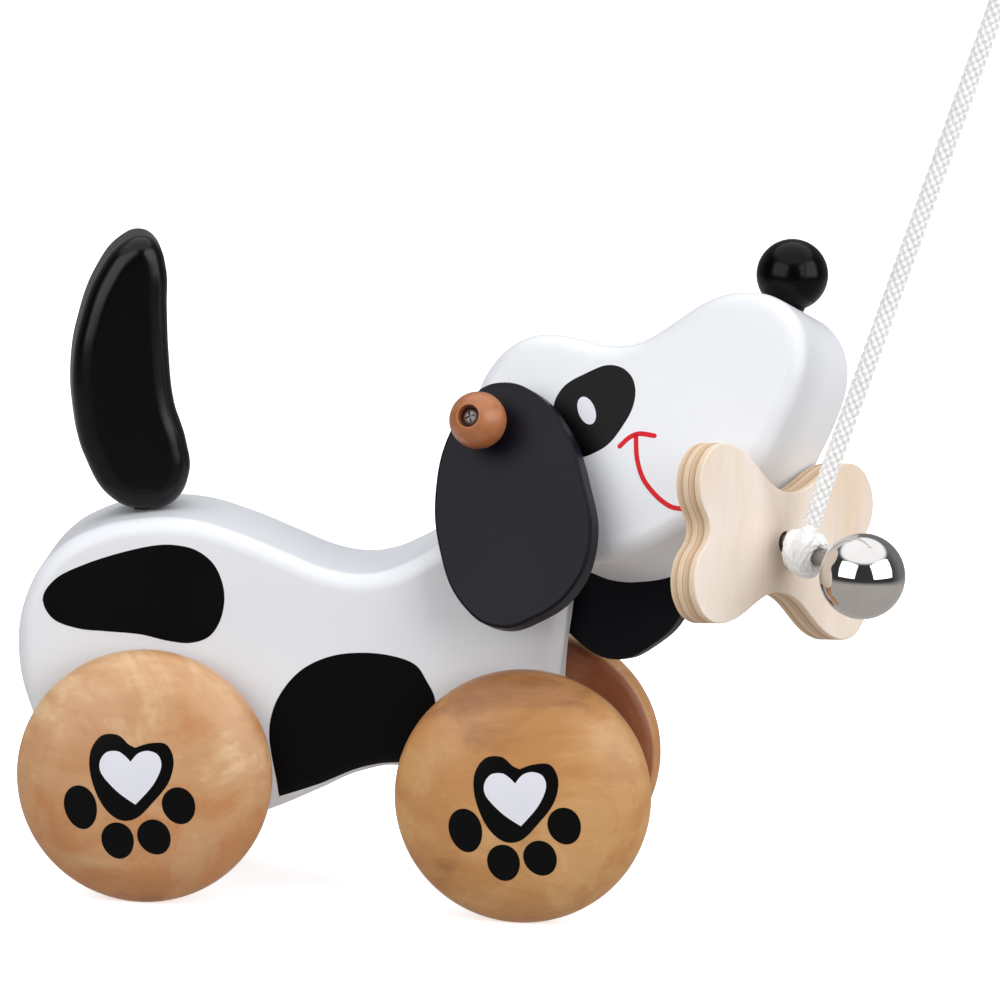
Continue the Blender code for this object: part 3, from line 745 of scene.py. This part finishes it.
def wood_material(name, tones, ring_axis_y, offset, along="X", roughness=0.42, contrast=1.0,
                  coat=0.25, ring_scale=150.0, slant=0.0, back=None, shade_sweep=None):
    """Varnished plain-sawn wood: growth rings cut by the surface, flecks and blotches.

    A back tint, which is painted shade, multiplies the face at y = 0, and
    the tone drifts with x, z and z squared as painted light and shade.
    """
    light, mid, warm, dark = [srgb(*tone) for tone in tones]
    n = Nodes(name)

    def place(stretch=1.0, slant_deg=0.0):
        scale = (stretch, 1.0, 1.0) if along == "X" else (1.0, 1.0, stretch)
        return n.coords(scale=scale, rotation=(0.0, radians(slant_deg), 0.0), offset=offset)

    x, y, z = n.axes(place())
    across = z if along == "X" else x
    off_axis = n.math("SUBTRACT", y, ring_axis_y)
    distance = n.math("SQRT", n.plus(n.times(across, across), n.times(off_axis, off_axis)))
    bent = n.plus(distance, n.times(n.noise(place(), 16.0, 3.0), 0.018))
    phase = n.math("FRACT", n.times(bent, ring_scale))
    ring = n.ramp(phase, [(0.0, 0.1), (0.35, 0.0), (0.75, 0.8), (0.90, 0.85), (1.0, 0.1)], "EASE")
    fibre = n.noise(place(0.10, slant), 620.0, 4.0, 0.6)
    streak = n.noise(place(0.30, slant), 95.0, 5.0, 0.62, 0.6)
    blotch = n.noise(place(), 30.0, 5.0, 0.62, 1.1)
    patch = n.plus(n.times(blotch, 0.68), n.times(streak, 0.32))
    # painted light and shade: the tone grows darker or lighter with x, z and z squared
    if shade_sweep:
        ahead, _, height = n.axes(n.coords(scale=(SHADE_SWEEP_SCALE,) * 3))
        for weight, amount in zip(shade_sweep, (ahead, height, n.times(height, height))):
            patch = n.plus(patch, n.times(amount, weight))
    base = n.ramp(patch, [(0.34, light), (0.48, mid), (0.60, warm), (0.76, dark)], "EASE")
    ringed = n.mix(n.times(ring, 0.08 * contrast), base, dark)
    flecked = n.over(fibre, 0.48, 0.8, 0.16 * contrast, ringed, dark)
    # painted shade: the back face at y = 0, which faces the body, is multiplied by the back tint
    if back:
        depth = n.math("ABSOLUTE", n.axes(n.coords(scale=(BACK_SHADE_SCALE,) * 3))[1])
        inner = n.ramp(depth, [(0.25, 1.0), (0.45, 0.0)])
        flecked = n.mix(inner, flecked, back, "MULTIPLY")
    return n.surface(Base_Color=flecked, Normal=n.bump(fibre, 0.18, 0.00008),
                     Roughness=n.spread(fibre, roughness * 0.85, roughness * 1.2),
                     Coat_Weight=coat, Coat_Roughness=0.25, Specular_IOR_Level=0.4)


GLUE_TONES = ((150, 112, 78), (146, 108, 76), (150, 112, 80))
PLY_LAYERS = [
    (0.0, (238, 219, 197)), (0.235, (231, 207, 178)), (0.25, GLUE_TONES[0]),
    (0.275, (205, 170, 132)), (0.47, (226, 198, 166)), (0.485, GLUE_TONES[1]),
    (0.51, (233, 210, 182)), (0.72, (228, 203, 172)), (0.735, GLUE_TONES[2]),
    (0.76, (208, 175, 138)), (1.0, (236, 215, 190)),
]


def ply_material(name):
    """Bare birch ply: figured face, and plies with dark glue lines on the cut edge."""
    n = Nodes(name)
    place = n.coords()
    figure = n.noise(n.coords(scale=(1.0, 1.0, 0.55)), 60.0, 4.0, 0.55, 0.8)
    face = n.over(figure, 0.35, 0.72, 1.0, srgb(236, 224, 214), srgb(228, 207, 184))
    fibre = n.noise(n.coords(scale=(1.0, 1.0, 0.05)), 900.0, 4.0, 0.6)
    face = n.over(fibre, 0.5, 0.85, 0.20, face, srgb(200, 164, 128))
    wander = n.times(n.noise(place, 90.0, 2.0), 0.00025)
    through = n.times(n.plus(n.axes(place)[1], wander), 1 / (BONE_THICK * MM))
    edge = n.ramp(n.plus(through, 0.48), [(at, srgb(*tone)) for at, tone in PLY_LAYERS])
    pores = n.noise(n.coords(scale=(1.0, 3.0, 1.0)), 1500.0, 3.0)
    edge = n.over(pores, 0.45, 0.8, 0.25, edge, srgb(170, 132, 96))
    side = n.add("ShaderNodeAttribute", {"attribute_name": "cut_edge"}).outputs["Fac"]
    return n.surface(Base_Color=n.mix(side, face, edge), Roughness=0.62,
                     Normal=n.bump(fibre, 0.3, 0.00012))


def metal_material(name, base, roughness, brushed=0.0):
    n = Nodes(name)
    smear = n.noise(n.coords(), 140.0, 3.0)
    if brushed:
        lines = n.noise(n.coords(scale=(1.0, 1.0, 0.08)), 2500.0, 2.0)
        n.surface(Normal=n.bump(lines, brushed, 0.00004))
    return n.surface(Base_Color=n.over(smear, 0.3, 0.8, 1.0, base, [c * 0.86 for c in base]),
                     Roughness=n.spread(smear, roughness * 0.7, roughness * 1.5), Metallic=1.0)


def cord_material(name):
    n = Nodes(name)
    worn = n.noise(n.coords(), 160.0, 3.0)
    tint = n.over(worn, 0.35, 0.75, 1.0, srgb(248, 248, 248), srgb(238, 238, 237))
    fibre = n.noise(n.coords(scale=(1.0, 1.0, 0.35)), 3200.0, 2.0)
    return n.surface(Base_Color=tint, Normal=n.bump(fibre, 0.20, 0.00004), Roughness=0.45,
                     Sheen_Weight=0.10, Sheen_Roughness=0.5)


def paint(name, base, shade, *surface):
    return paint_material(name, srgb(*base), srgb(*shade), *surface)


WHITE = paint("white_paint", (236, 238, 242), (231, 233, 238), 0.36, 0.5)
BLACK_GLOSS = paint("black_gloss_paint", (1, 1, 2), (3, 3, 4), 0.24, 0.28, 0.3)
BLACK_SATIN = paint("black_satin_paint", (9, 9, 20), (11, 11, 24), 0.42, 0.19, 0.5)
BLACK_PRINT = paint("black_print", (4, 4, 5), (6, 6, 7), 0.36, 0.12, 0.2)
WHITE_PRINT = paint("white_print", (232, 233, 241), (226, 227, 237), 0.42, 0.4, 0.2)
RED_PRINT = paint("red_print", (222, 14, 34), (212, 12, 30), 0.45, 0.2, 0.2)
NOSE_GLOSS = paint("nose_gloss_paint", (3, 3, 4), (5, 5, 6), 0.20, 0.14, 0.3)
# near-black dowel colour is painted shade: it stands for the shadow in the gap under the tail,
# where the peg shows
DOWEL_PAINTED_SHADE = paint("tail_dowel_painted_shade", (26, 21, 18), (34, 28, 24), 0.60, 0.2)
FIBRE = paint("pressed_fibre", (176, 160, 134), (156, 140, 116), 0.75, 0.3, 0.8, 0.5)
BEAD_WOOD = wood_material("bead_wood",
                          ((200, 134, 88), (174, 108, 66), (160, 92, 52), (112, 62, 34)),
                          -0.012, (0.0, 0.0, 0.003), "Z", 0.36, 1.4, 0.3, 420.0)
DOWEL_WOOD = wood_material("dowel_wood",
                           ((226, 197, 158), (212, 178, 136), (204, 166, 122), (168, 128, 88)),
                           0.02, (0.0, 0.0, 0.0), "X", 0.6, 1.0, 0.0, 300.0)
PLY = ply_material("birch_ply")
STEEL = metal_material("polished_steel", (0.70, 0.68, 0.66), 0.035)
ZINC = metal_material("plated_steel", (0.34, 0.31, 0.29), 0.16, 0.2)
DARK_ZINC = metal_material("dull_screw_steel", (0.20, 0.18, 0.17), 0.38, 0.3)
CORD = cord_material("braided_cord")


def finish_piece(obj, material, body, slot, *nodes):
    """Give a piece its material and body, and hide the CAD nodes it stands for; the slot is not
    used.
    """
    obj.data.materials.clear()
    obj.data.materials.append(material)
    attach(obj, body)
    if nodes:
        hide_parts(*nodes)
    return obj


for piece in CORD_PIECES:
    piece.data.materials.clear()
    piece.data.materials.append(CORD)


# ---- body, tail, wheels -------------------------------------------------------------
def make_body():
    mesh = outline_mesh(BODY_OUTLINE, BODY_THICK, 4.0, BODY_CORNERS)
    body = link_mesh("dog_body", mesh, place_at((0, 0, 0)), 50)
    tree = surface_of(body)
    for side, word in ((-1, "right"), (1, "left")):
        for name, outline, rings, centre in (("rear_spot_", SPOT_REAR, 10, (-48.0, 72.0)),
                                             ("middle_spot_", SPOT_MIDDLE, 16, (4.0, 45.0))):
            spot = film(name + word, body, tree, smooth_points(outline), side, rings=rings,
                        centre=centre)
            finish_piece(spot, BLACK_PRINT, "body", "black_gloss")
    for axle_x in (-WHEELBASE / 2, WHEELBASE / 2):
        bore(body, AXLE_HOLE_R, (axle_x, -BODY_THICK, WHEEL_R), (0, 1, 0), 2 * BODY_THICK)
    weigh_normals(body)
    finish_piece(body, WHITE, "body", "white_paint", "body_block")


def make_tail():
    mesh = outline_mesh(TAIL_OUTLINE, 22.0, 5.0, (), 12, 7)
    turn = Quaternion((0, 0, 1), radians(TAIL_TURN_DEG))
    seat = Vector(TAIL_POINT) + Vector((0, 0, TAIL_CLEARANCE))
    tail = link_mesh("dog_tail", mesh, place_at(seat, turn), 50)
    weigh_normals(tail)
    finish_piece(tail, BLACK_GLOSS, "tail", "black_gloss", "tail")
    # the peg wears the near-black painted-shade dowel colour
    peg = link_mesh("tail_dowel", dowel(3.0, 30.0, 32), place_at(TAIL_POINT))
    finish_piece(peg, DOWEL_PAINTED_SHADE, "body", "dowel_wood", "tail_peg")


# light, middle, warm and dark tone of each wheel's wood, the slant of its grain,
# and the painted light and shade: how the tone drifts with x, z and z squared
WHEEL_LOOKS = {
    "front_right": ((220, 179, 128), (206, 158, 104), (194, 139, 84), (152, 100, 58), 35.0,
                    (-0.09, 0.05, 0.16)),
    "front_left": ((224, 184, 140), (206, 158, 110), (196, 140, 90), (160, 106, 66), -20.0,
                   (0.05, 0.0, 0.06)),
    "rear_right": ((222, 186, 144), (203, 155, 111), (195, 135, 86), (163, 105, 67), 62.0,
                   (0.0, -0.08, 0.04)),
    "rear_left": ((222, 182, 138), (205, 158, 112), (194, 138, 88), (160, 106, 66), 15.0,
                  (0.0, -0.05, 0.04)),
}
# painted shade laid over each wheel's back face, the side that faces the body
WHEEL_BACK_SHADE = (0.56, 0.33, 0.30)


def wheel_mesh():
    crown = smooth_profile([(0.0, 16.5), (6.0, 16.3), (12.0, 15.7), (17.5, 14.7), (22.5, 13.0),
                            (26.5, 10.5), (29.1, 8.2), (30.0, 6.1), (30.0, 4.0), (29.8, 2.8),
                            (29.0, 1.2), (27.9, 0.4), (26.8, 0.0)], 5)
    back = [(25.0, 0.0), (24.6, -0.08), (24.2, 0.0), (16.0, 0.0), (15.7, -0.06), (15.4, 0.0),
            (8.5, 0.0), (4.3, 0.0)]
    return lathe(crown + back + [(4.3, 9.0), (0.0, 9.0)], 128)


def paw_shapes(turn_deg, shift):
    """The paw print's outlines after a small turn and shift."""
    a = radians(turn_deg)
    def moved(points):
        return [(x * cos(a) - z * sin(a) + shift[0], x * sin(a) + z * cos(a) + shift[1])
                for x, z in points]
    pad = moved(smooth_points(PAW_PAD, (0,)))
    heart = moved(smooth_points(PAW_HEART, (0, 6)))
    return pad, heart, *[moved(ellipse(*toe, egg=0.06)) for toe in PAW_TOES]


def make_wheel(end, side, sign, axle_x, number):
    """One domed wheel with its printed paw."""
    name = "%s_wheel_%s" % (end, side)
    body = end + "_wheels"
    centre = Vector((axle_x, sign * WHEEL_BACK_Y, WHEEL_R))
    mesh = wheel_mesh()
    mesh.transform(z_to((0, sign, 0)).to_matrix().to_4x4())
    wheel = link_mesh("domed_" + name, mesh, place_at(centre), 30)
    rings = ((0.060, 150.0), (0.075, 135.0), (0.048, 160.0), (0.066, 140.0))[number]
    *tones, slant, shade_sweep = WHEEL_LOOKS[end + "_" + side]
    wood = wood_material("wheel_wood_%d" % number, tones, rings[0] * -sign,
                         (0.013 * number, 0.0, 0.007 * number), "X", 0.40, 1.0, 0.15, rings[1],
                         slant, WHEEL_BACK_SHADE, shade_sweep)
    tree = surface_of(wheel)
    finish_piece(wheel, wood, body, "wheel_wood", name)
    turn, shift = (0.0, (0.0, 0.5)) if end == "front" else (-1.6, (-1.0, 0.7))
    shapes = paw_shapes(turn, shift)
    if sign > 0:
        shapes = [[(-x, z) for x, z in shape] for shape in shapes]
    pad, heart, *toes = shapes
    label = "%s_%s" % (end, side)
    prints = [("paw_pad_" + label, pad, 0.05, 12, BLACK_PRINT, "black_gloss"),
              ("paw_heart_" + label, heart, 0.10, 10, WHITE_PRINT, "white_paint")]
    prints += [("paw_toe_%s_%d" % (label, k + 1), toe, 0.05, 6, BLACK_PRINT, "black_gloss")
               for k, toe in enumerate(toes)]
    for print_name, shape, lift, rings, look, slot in prints:
        finish_piece(film(print_name, wheel, tree, shape, sign, lift, rings), look, body, slot)
    washer = lathe([(4.3, 1.9), (7.6, 1.9), (8.0, 1.5), (8.0, 0.4), (7.6, 0.0), (4.3, 0.0)],
                   48, closed=True)
    seat = place_at((axle_x, sign * WASHER_SEAT_Y, WHEEL_R), z_to((0, sign, 0)))
    ring = link_mesh("washer_" + label, washer, seat)
    finish_piece(ring, FIBRE, "body", "fibre", "%s_washer_%s" % (end, side))


def make_wheels():
    number = 0
    for end, axle_x in (("rear", -WHEELBASE / 2), ("front", WHEELBASE / 2)):
        axle = link_mesh(end + "_dowel_axle", dowel(4.0, 62.4),
                         place_at((axle_x, 0, WHEEL_R), z_to((0, 1, 0))))
        finish_piece(axle, DOWEL_WOOD, end + "_wheels", "dowel_wood", end + "_axle")
        for side, sign in (("right", -1), ("left", 1)):
            make_wheel(end, side, sign, axle_x, number)
            number += 1


# ---- head ---------------------------------------------------------------------------
def make_head():
    mesh = outline_mesh(HEAD_OUTLINE, HEAD_THICK, 4.2, HEAD_CORNERS)
    head = link_mesh("dog_head", mesh, head_place((0, 0, 0)), 50)
    tree = surface_of(head)
    for side, word in ((-1, "right"), (1, "left")):
        patch = film("eye_patch_" + word, head, tree, smooth_points(EYE_PATCH), side)
        finish_piece(patch, BLACK_PRINT, "head", "black_gloss")
        pupil = film("eye_" + word, head, tree, ellipse(*EYE_WHITE), side, 0.10, 6)
        finish_piece(pupil, WHITE_PRINT, "head", "white_paint")
        for part, line in (("cheek", SMILE_TICK), ("mouth", SMILE_CURVE)):
            mark = stroke("%s_%s" % (part, word), head, tree, smooth_profile(line, 8),
                          SMILE_WIDTH, side)
            finish_piece(mark, RED_PRINT, "head", "black_gloss")
    bore(head, 2.3, POST_ROOT - POST_AXIS * 15, POST_AXIS, 25)
    weigh_normals(head)
    finish_piece(head, WHITE, "head", "white_paint", "head_block")
    neck = link_mesh("neck_dowel", dowel(5.0, 36.0), head_place(NECK_POINT, z_to(NECK_AXIS)))
    finish_piece(neck, DOWEL_WOOD, "body", "dowel_wood", "neck_peg")


def make_nose():
    up = Vector((sin(radians(7)), 0, cos(radians(7))))
    seat = head_place(NOSE_SEAT, z_to(up))
    outer = arc(0, 7.2, 8.42, 90, -56, 40)
    foot = [(4.55, -0.5), (4.2, -1.2), (3.9, -1.6), (2.8, -1.6), (2.8, 6.3), (0, 6.3)]
    ball = link_mesh("dog_nose", lathe(outer + foot, 96), seat, 30)
    finish_piece(ball, NOSE_GLOSS, "head", "black_gloss", "nose_ball")
    peg = lathe([(0, 6), (2.5, 6), (2.5, -8), (0, -8)], 32)
    finish_piece(link_mesh("nose_dowel", peg, seat), DOWEL_WOOD, "head", "dowel_wood", "nose_peg")


def make_ear(side, sign):
    lean, swing = EAR_LEAN_SWING_DEG[side]
    turn = Vector((sign * radians(lean), -radians(swing), 0))
    hang = Quaternion(turn.normalized(), turn.length)
    middle = EAR_POINT + Vector((0, sign * (EAR_INNER_Y + EAR_THICK / 2), 0))
    mesh = outline_mesh(EAR_OUTLINE, EAR_THICK, 0.8, (), 14, 4)
    ear = link_mesh("dog_ear_" + side, mesh, head_place(middle, hang), 50)
    bore(ear, 2.5, (0, -12, 0), (0, 1, 0), 24)
    weigh_normals(ear)
    finish_piece(ear, BLACK_SATIN, "ear_" + side, "black_satin", "ear_" + side)
    outward = z_to((0, sign, 0))
    spacer = lathe([(1.85, 3.6), (3.7, 3.6), (4.0, 3.3), (4.0, 0.3), (3.7, 0), (1.85, 0)], 40, True)
    seat = head_place(EAR_POINT + Vector((0, sign * EAR_SPACER_Y, 0)), outward)
    finish_piece(link_mesh("spacer_" + side, spacer, seat), DOWEL_WOOD, "ear_%s_hanger" % side,
                 "dowel_wood", "ear_spacer_" + side)
    flat_h = sqrt(BEAD_R ** 2 - BEAD_FLAT_R ** 2)
    start = 90 - degrees(BEAD_MOUTH_ANGLE)
    outer = arc(0, 0, BEAD_R, start, degrees(BEAD_FOOT_ANGLE) - 90, 36)
    mouth = outer[0]
    lip = [(mouth[0] - 0.18, mouth[1] + 0.01), (mouth[0] - 0.3, mouth[1] - 0.15)]
    inner = [(1.85, -flat_h), (1.85, 3.0), (lip[1][0], 3.0)]
    bead = lathe(outer + inner + [lip[1], lip[0]], 72, True)
    seat = head_place(EAR_POINT + Vector((0, sign * BEAD_CENTRE_Y, 0)), outward)
    finish_piece(link_mesh("bead_" + side, bead, seat, 35), BEAD_WOOD, "head", "bead_wood",
                 "ear_bead_" + side)
    make_ear_screw(side, sign, outward)


def make_ear_screw(side, sign, outward):
    """Pan-head screw with a cross recess, sunk in the bead."""
    tip = 5.0
    base = BEAD_CENTRE_Y + 3.3 - tip
    head = smooth_profile([(0, base + 1.5), (1.2, base + 1.42), (2.0, base + 1.0),
                           (2.3, base + 0.4), (2.3, base)], 5)
    screw = lathe(head + [(1.5, base), (1.5, 2.0), (0, 0)], 48)
    seat = head_place(EAR_POINT + Vector((0, sign * tip, 0)), outward)
    obj = link_mesh("screw_" + side, screw, seat)
    for angle in (0, 90):
        slot = bpy.data.meshes.new("slot")
        work = bmesh.new()
        bmesh.ops.create_cube(work, size=1.0)
        bmesh.ops.scale(work, verts=work.verts, vec=mm(2.4, 0.5, 1.4))
        turn = Matrix.Rotation(radians(angle + 20), 3, "Z")
        bmesh.ops.rotate(work, verts=work.verts, matrix=turn)
        bmesh.ops.translate(work, verts=work.verts, vec=mm(0, 0, base + 1.5))
        work.to_mesh(slot)
        work.free()
        cut_away(obj, slot, Matrix())
    finish_piece(obj, DARK_ZINC, "head", "zinc", "ear_screw_" + side)


# ---- bone and post ------------------------------------------------------------------
def bone_outline():
    along, across, radius = 23.6, 11.1, 9.7
    lobe = [radians(a) for a in (105, 70, 40, 10, -20)]
    quarter = [(along + radius * cos(a), across + radius * sin(a)) for a in lobe]
    half = [(0.0, 11.7)] + quarter + [(28.6, 0.0)]
    mirrored = [(x, -z) for x, z in reversed(half[1:-1])]
    right = half + mirrored + [(0.0, -11.7)]
    left = [(-x, z) for x, z in reversed(right[1:-1])]
    return right + left


def make_bone():
    facing = Vector((0.960, -0.279, 0.0)).normalized()
    side = (Vector((0, 1, 0)) - facing * facing.y).normalized()
    tilt = Quaternion(facing, radians(4.6))
    long_way = tilt @ side
    turn = Matrix((long_way, -facing, facing.cross(long_way))).transposed().to_quaternion()
    centre = POST_ROOT + POST_AXIS * BONE_ALONG_POST - facing * BONE_THICK / 2
    mesh = outline_mesh(bone_outline(), BONE_THICK, 0.35, (), 12, 2)
    bone = link_mesh("ply_bone", mesh, head_place(centre, turn), 35)
    local_post = turn.inverted() @ POST_AXIS
    bore(bone, 2.5, Vector((0, -BONE_THICK / 2, 0)) - local_post * 17, local_post, 28)
    mark = bone.data.attributes.new("cut_edge", "FLOAT", "FACE")
    for face in bone.data.polygons:
        mark.data[face.index].value = 0.0 if abs(face.normal.y) > 0.9 else 1.0
    weigh_normals(bone)
    finish_piece(bone, PLY, "bone", "birch_ply", "bone")
    along = z_to(POST_AXIS)
    root = POST_ROOT - POST_AXIS * 15
    rod = lathe([(0, 59.9), (1.6, 59.9), (2.0, 59.5), (2.0, 0.4), (1.6, 0), (0, 0)], 48)
    post = link_mesh("bone_pin", rod, head_place(root, along))
    finish_piece(post, ZINC, "head", "zinc", "bone_post")
    outer = arc(0, 0, BALL_R, 90, degrees(BALL_MOUTH_ANGLE) - 90, 60)
    mouth = outer[-1]
    ball = lathe(outer + [(mouth[0], mouth[1] + 9.0), (0, mouth[1] + 9.0)], 128)
    centre = POST_ROOT + POST_AXIS * BALL_ALONG_POST
    finish_piece(link_mesh("chrome_ball", ball, head_place(centre, along), 30), STEEL, "head",
                 "steel", "steel_ball")


make_body()
make_tail()
make_wheels()
make_head()
make_nose()
make_ear("right", -1)
make_ear("left", 1)
make_bone()


# ---- stage --------------------------------------------------------------------------
def make_floor():
    mesh = bpy.data.meshes.new("floor")
    half = 14
    corners = [(-half, -half, 0), (half, -half, 0), (half, half, 0), (-half, half, 0)]
    mesh.from_pydata(corners, [], [(0, 1, 2, 3)])
    floor = add_object("floor", mesh)
    n = Nodes("pale_floor")
    tint = n.mix(n.noise(n.coords(), 30.0, 2.0), 0.97, 0.95)
    mesh.materials.append(n.surface(Base_Color=tint, Roughness=0.9, Specular_IOR_Level=0.2,
                                    Emission_Strength=0.60, Emission_Color=1.0))
    # the surround's lower half stands in for the floor's bounce, so it stays soft and warm
    floor.visible_diffuse = False
    floor.visible_glossy = False
    floor.visible_shadow = False


def area_light(name, place, aim, size, power, size_y):
    data = bpy.data.lights.new(name, "AREA")
    data.shape = "RECTANGLE"
    data.size = size
    data.size_y = size_y
    data.energy = power
    light = add_object(name, data)
    light.location = place
    light.rotation_mode = "QUATERNION"
    light.rotation_quaternion = (Vector(aim) - Vector(place)).to_track_quat("-Z", "Y")
    return light


def make_world():
    """Studio surround: dim at eye level in front, paler behind, bright overhead."""
    world = bpy.data.worlds.new("studio")
    world.use_nodes = True
    tree = world.node_tree
    split = tree.nodes.new("ShaderNodeSeparateXYZ")
    place = tree.nodes.new("ShaderNodeTexCoord").outputs["Generated"]
    tree.links.new(place, split.inputs["Vector"])
    level = None
    for axis, low, high, tone in (("Y", -0.1, 0.7, SURROUND_BEHIND),
                                  ("Z", 0.62, 0.74, SURROUND_ABOVE),
                                  ("Z", -0.08, -0.30, SURROUND_BELOW)):
        blend = tree.nodes.new("ShaderNodeMapRange")
        blend.interpolation_type = "SMOOTHSTEP"
        blend.inputs["From Min"].default_value = low
        blend.inputs["From Max"].default_value = high
        tree.links.new(split.outputs[axis], blend.inputs["Value"])
        mix = tree.nodes.new("ShaderNodeMix")
        mix.data_type = "RGBA"
        tree.links.new(blend.outputs["Result"], mix.inputs[0])
        mix.inputs[6].default_value = SURROUND_FRONT
        if level:
            tree.links.new(level, mix.inputs[6])
        mix.inputs[7].default_value = tone
        level = mix.outputs[2]
    tree.links.new(level, tree.nodes["Background"].inputs["Color"])
    bpy.context.scene.world = world


SURROUND_FRONT = (0.05, 0.052, 0.055, 1.0)
SURROUND_BEHIND = (0.22, 0.225, 0.235, 1.0)
SURROUND_ABOVE = (1.34, 1.35, 1.38, 1.0)
SURROUND_BELOW = (0.51, 0.485, 0.465, 1.0)
make_floor()
make_world()
area_light("left_softbox", (-1.25, -1.45, 0.85), (0, 0, 0.08), 1.9, 22.5, 1.5)
area_light("right_softbox", (1.65, -0.95, 0.85), (0, 0, 0.08), 2.2, 33.0, 1.5)
bpy.context.scene.view_settings.view_transform = "Standard"
bpy.context.scene.view_settings.exposure = 0.0
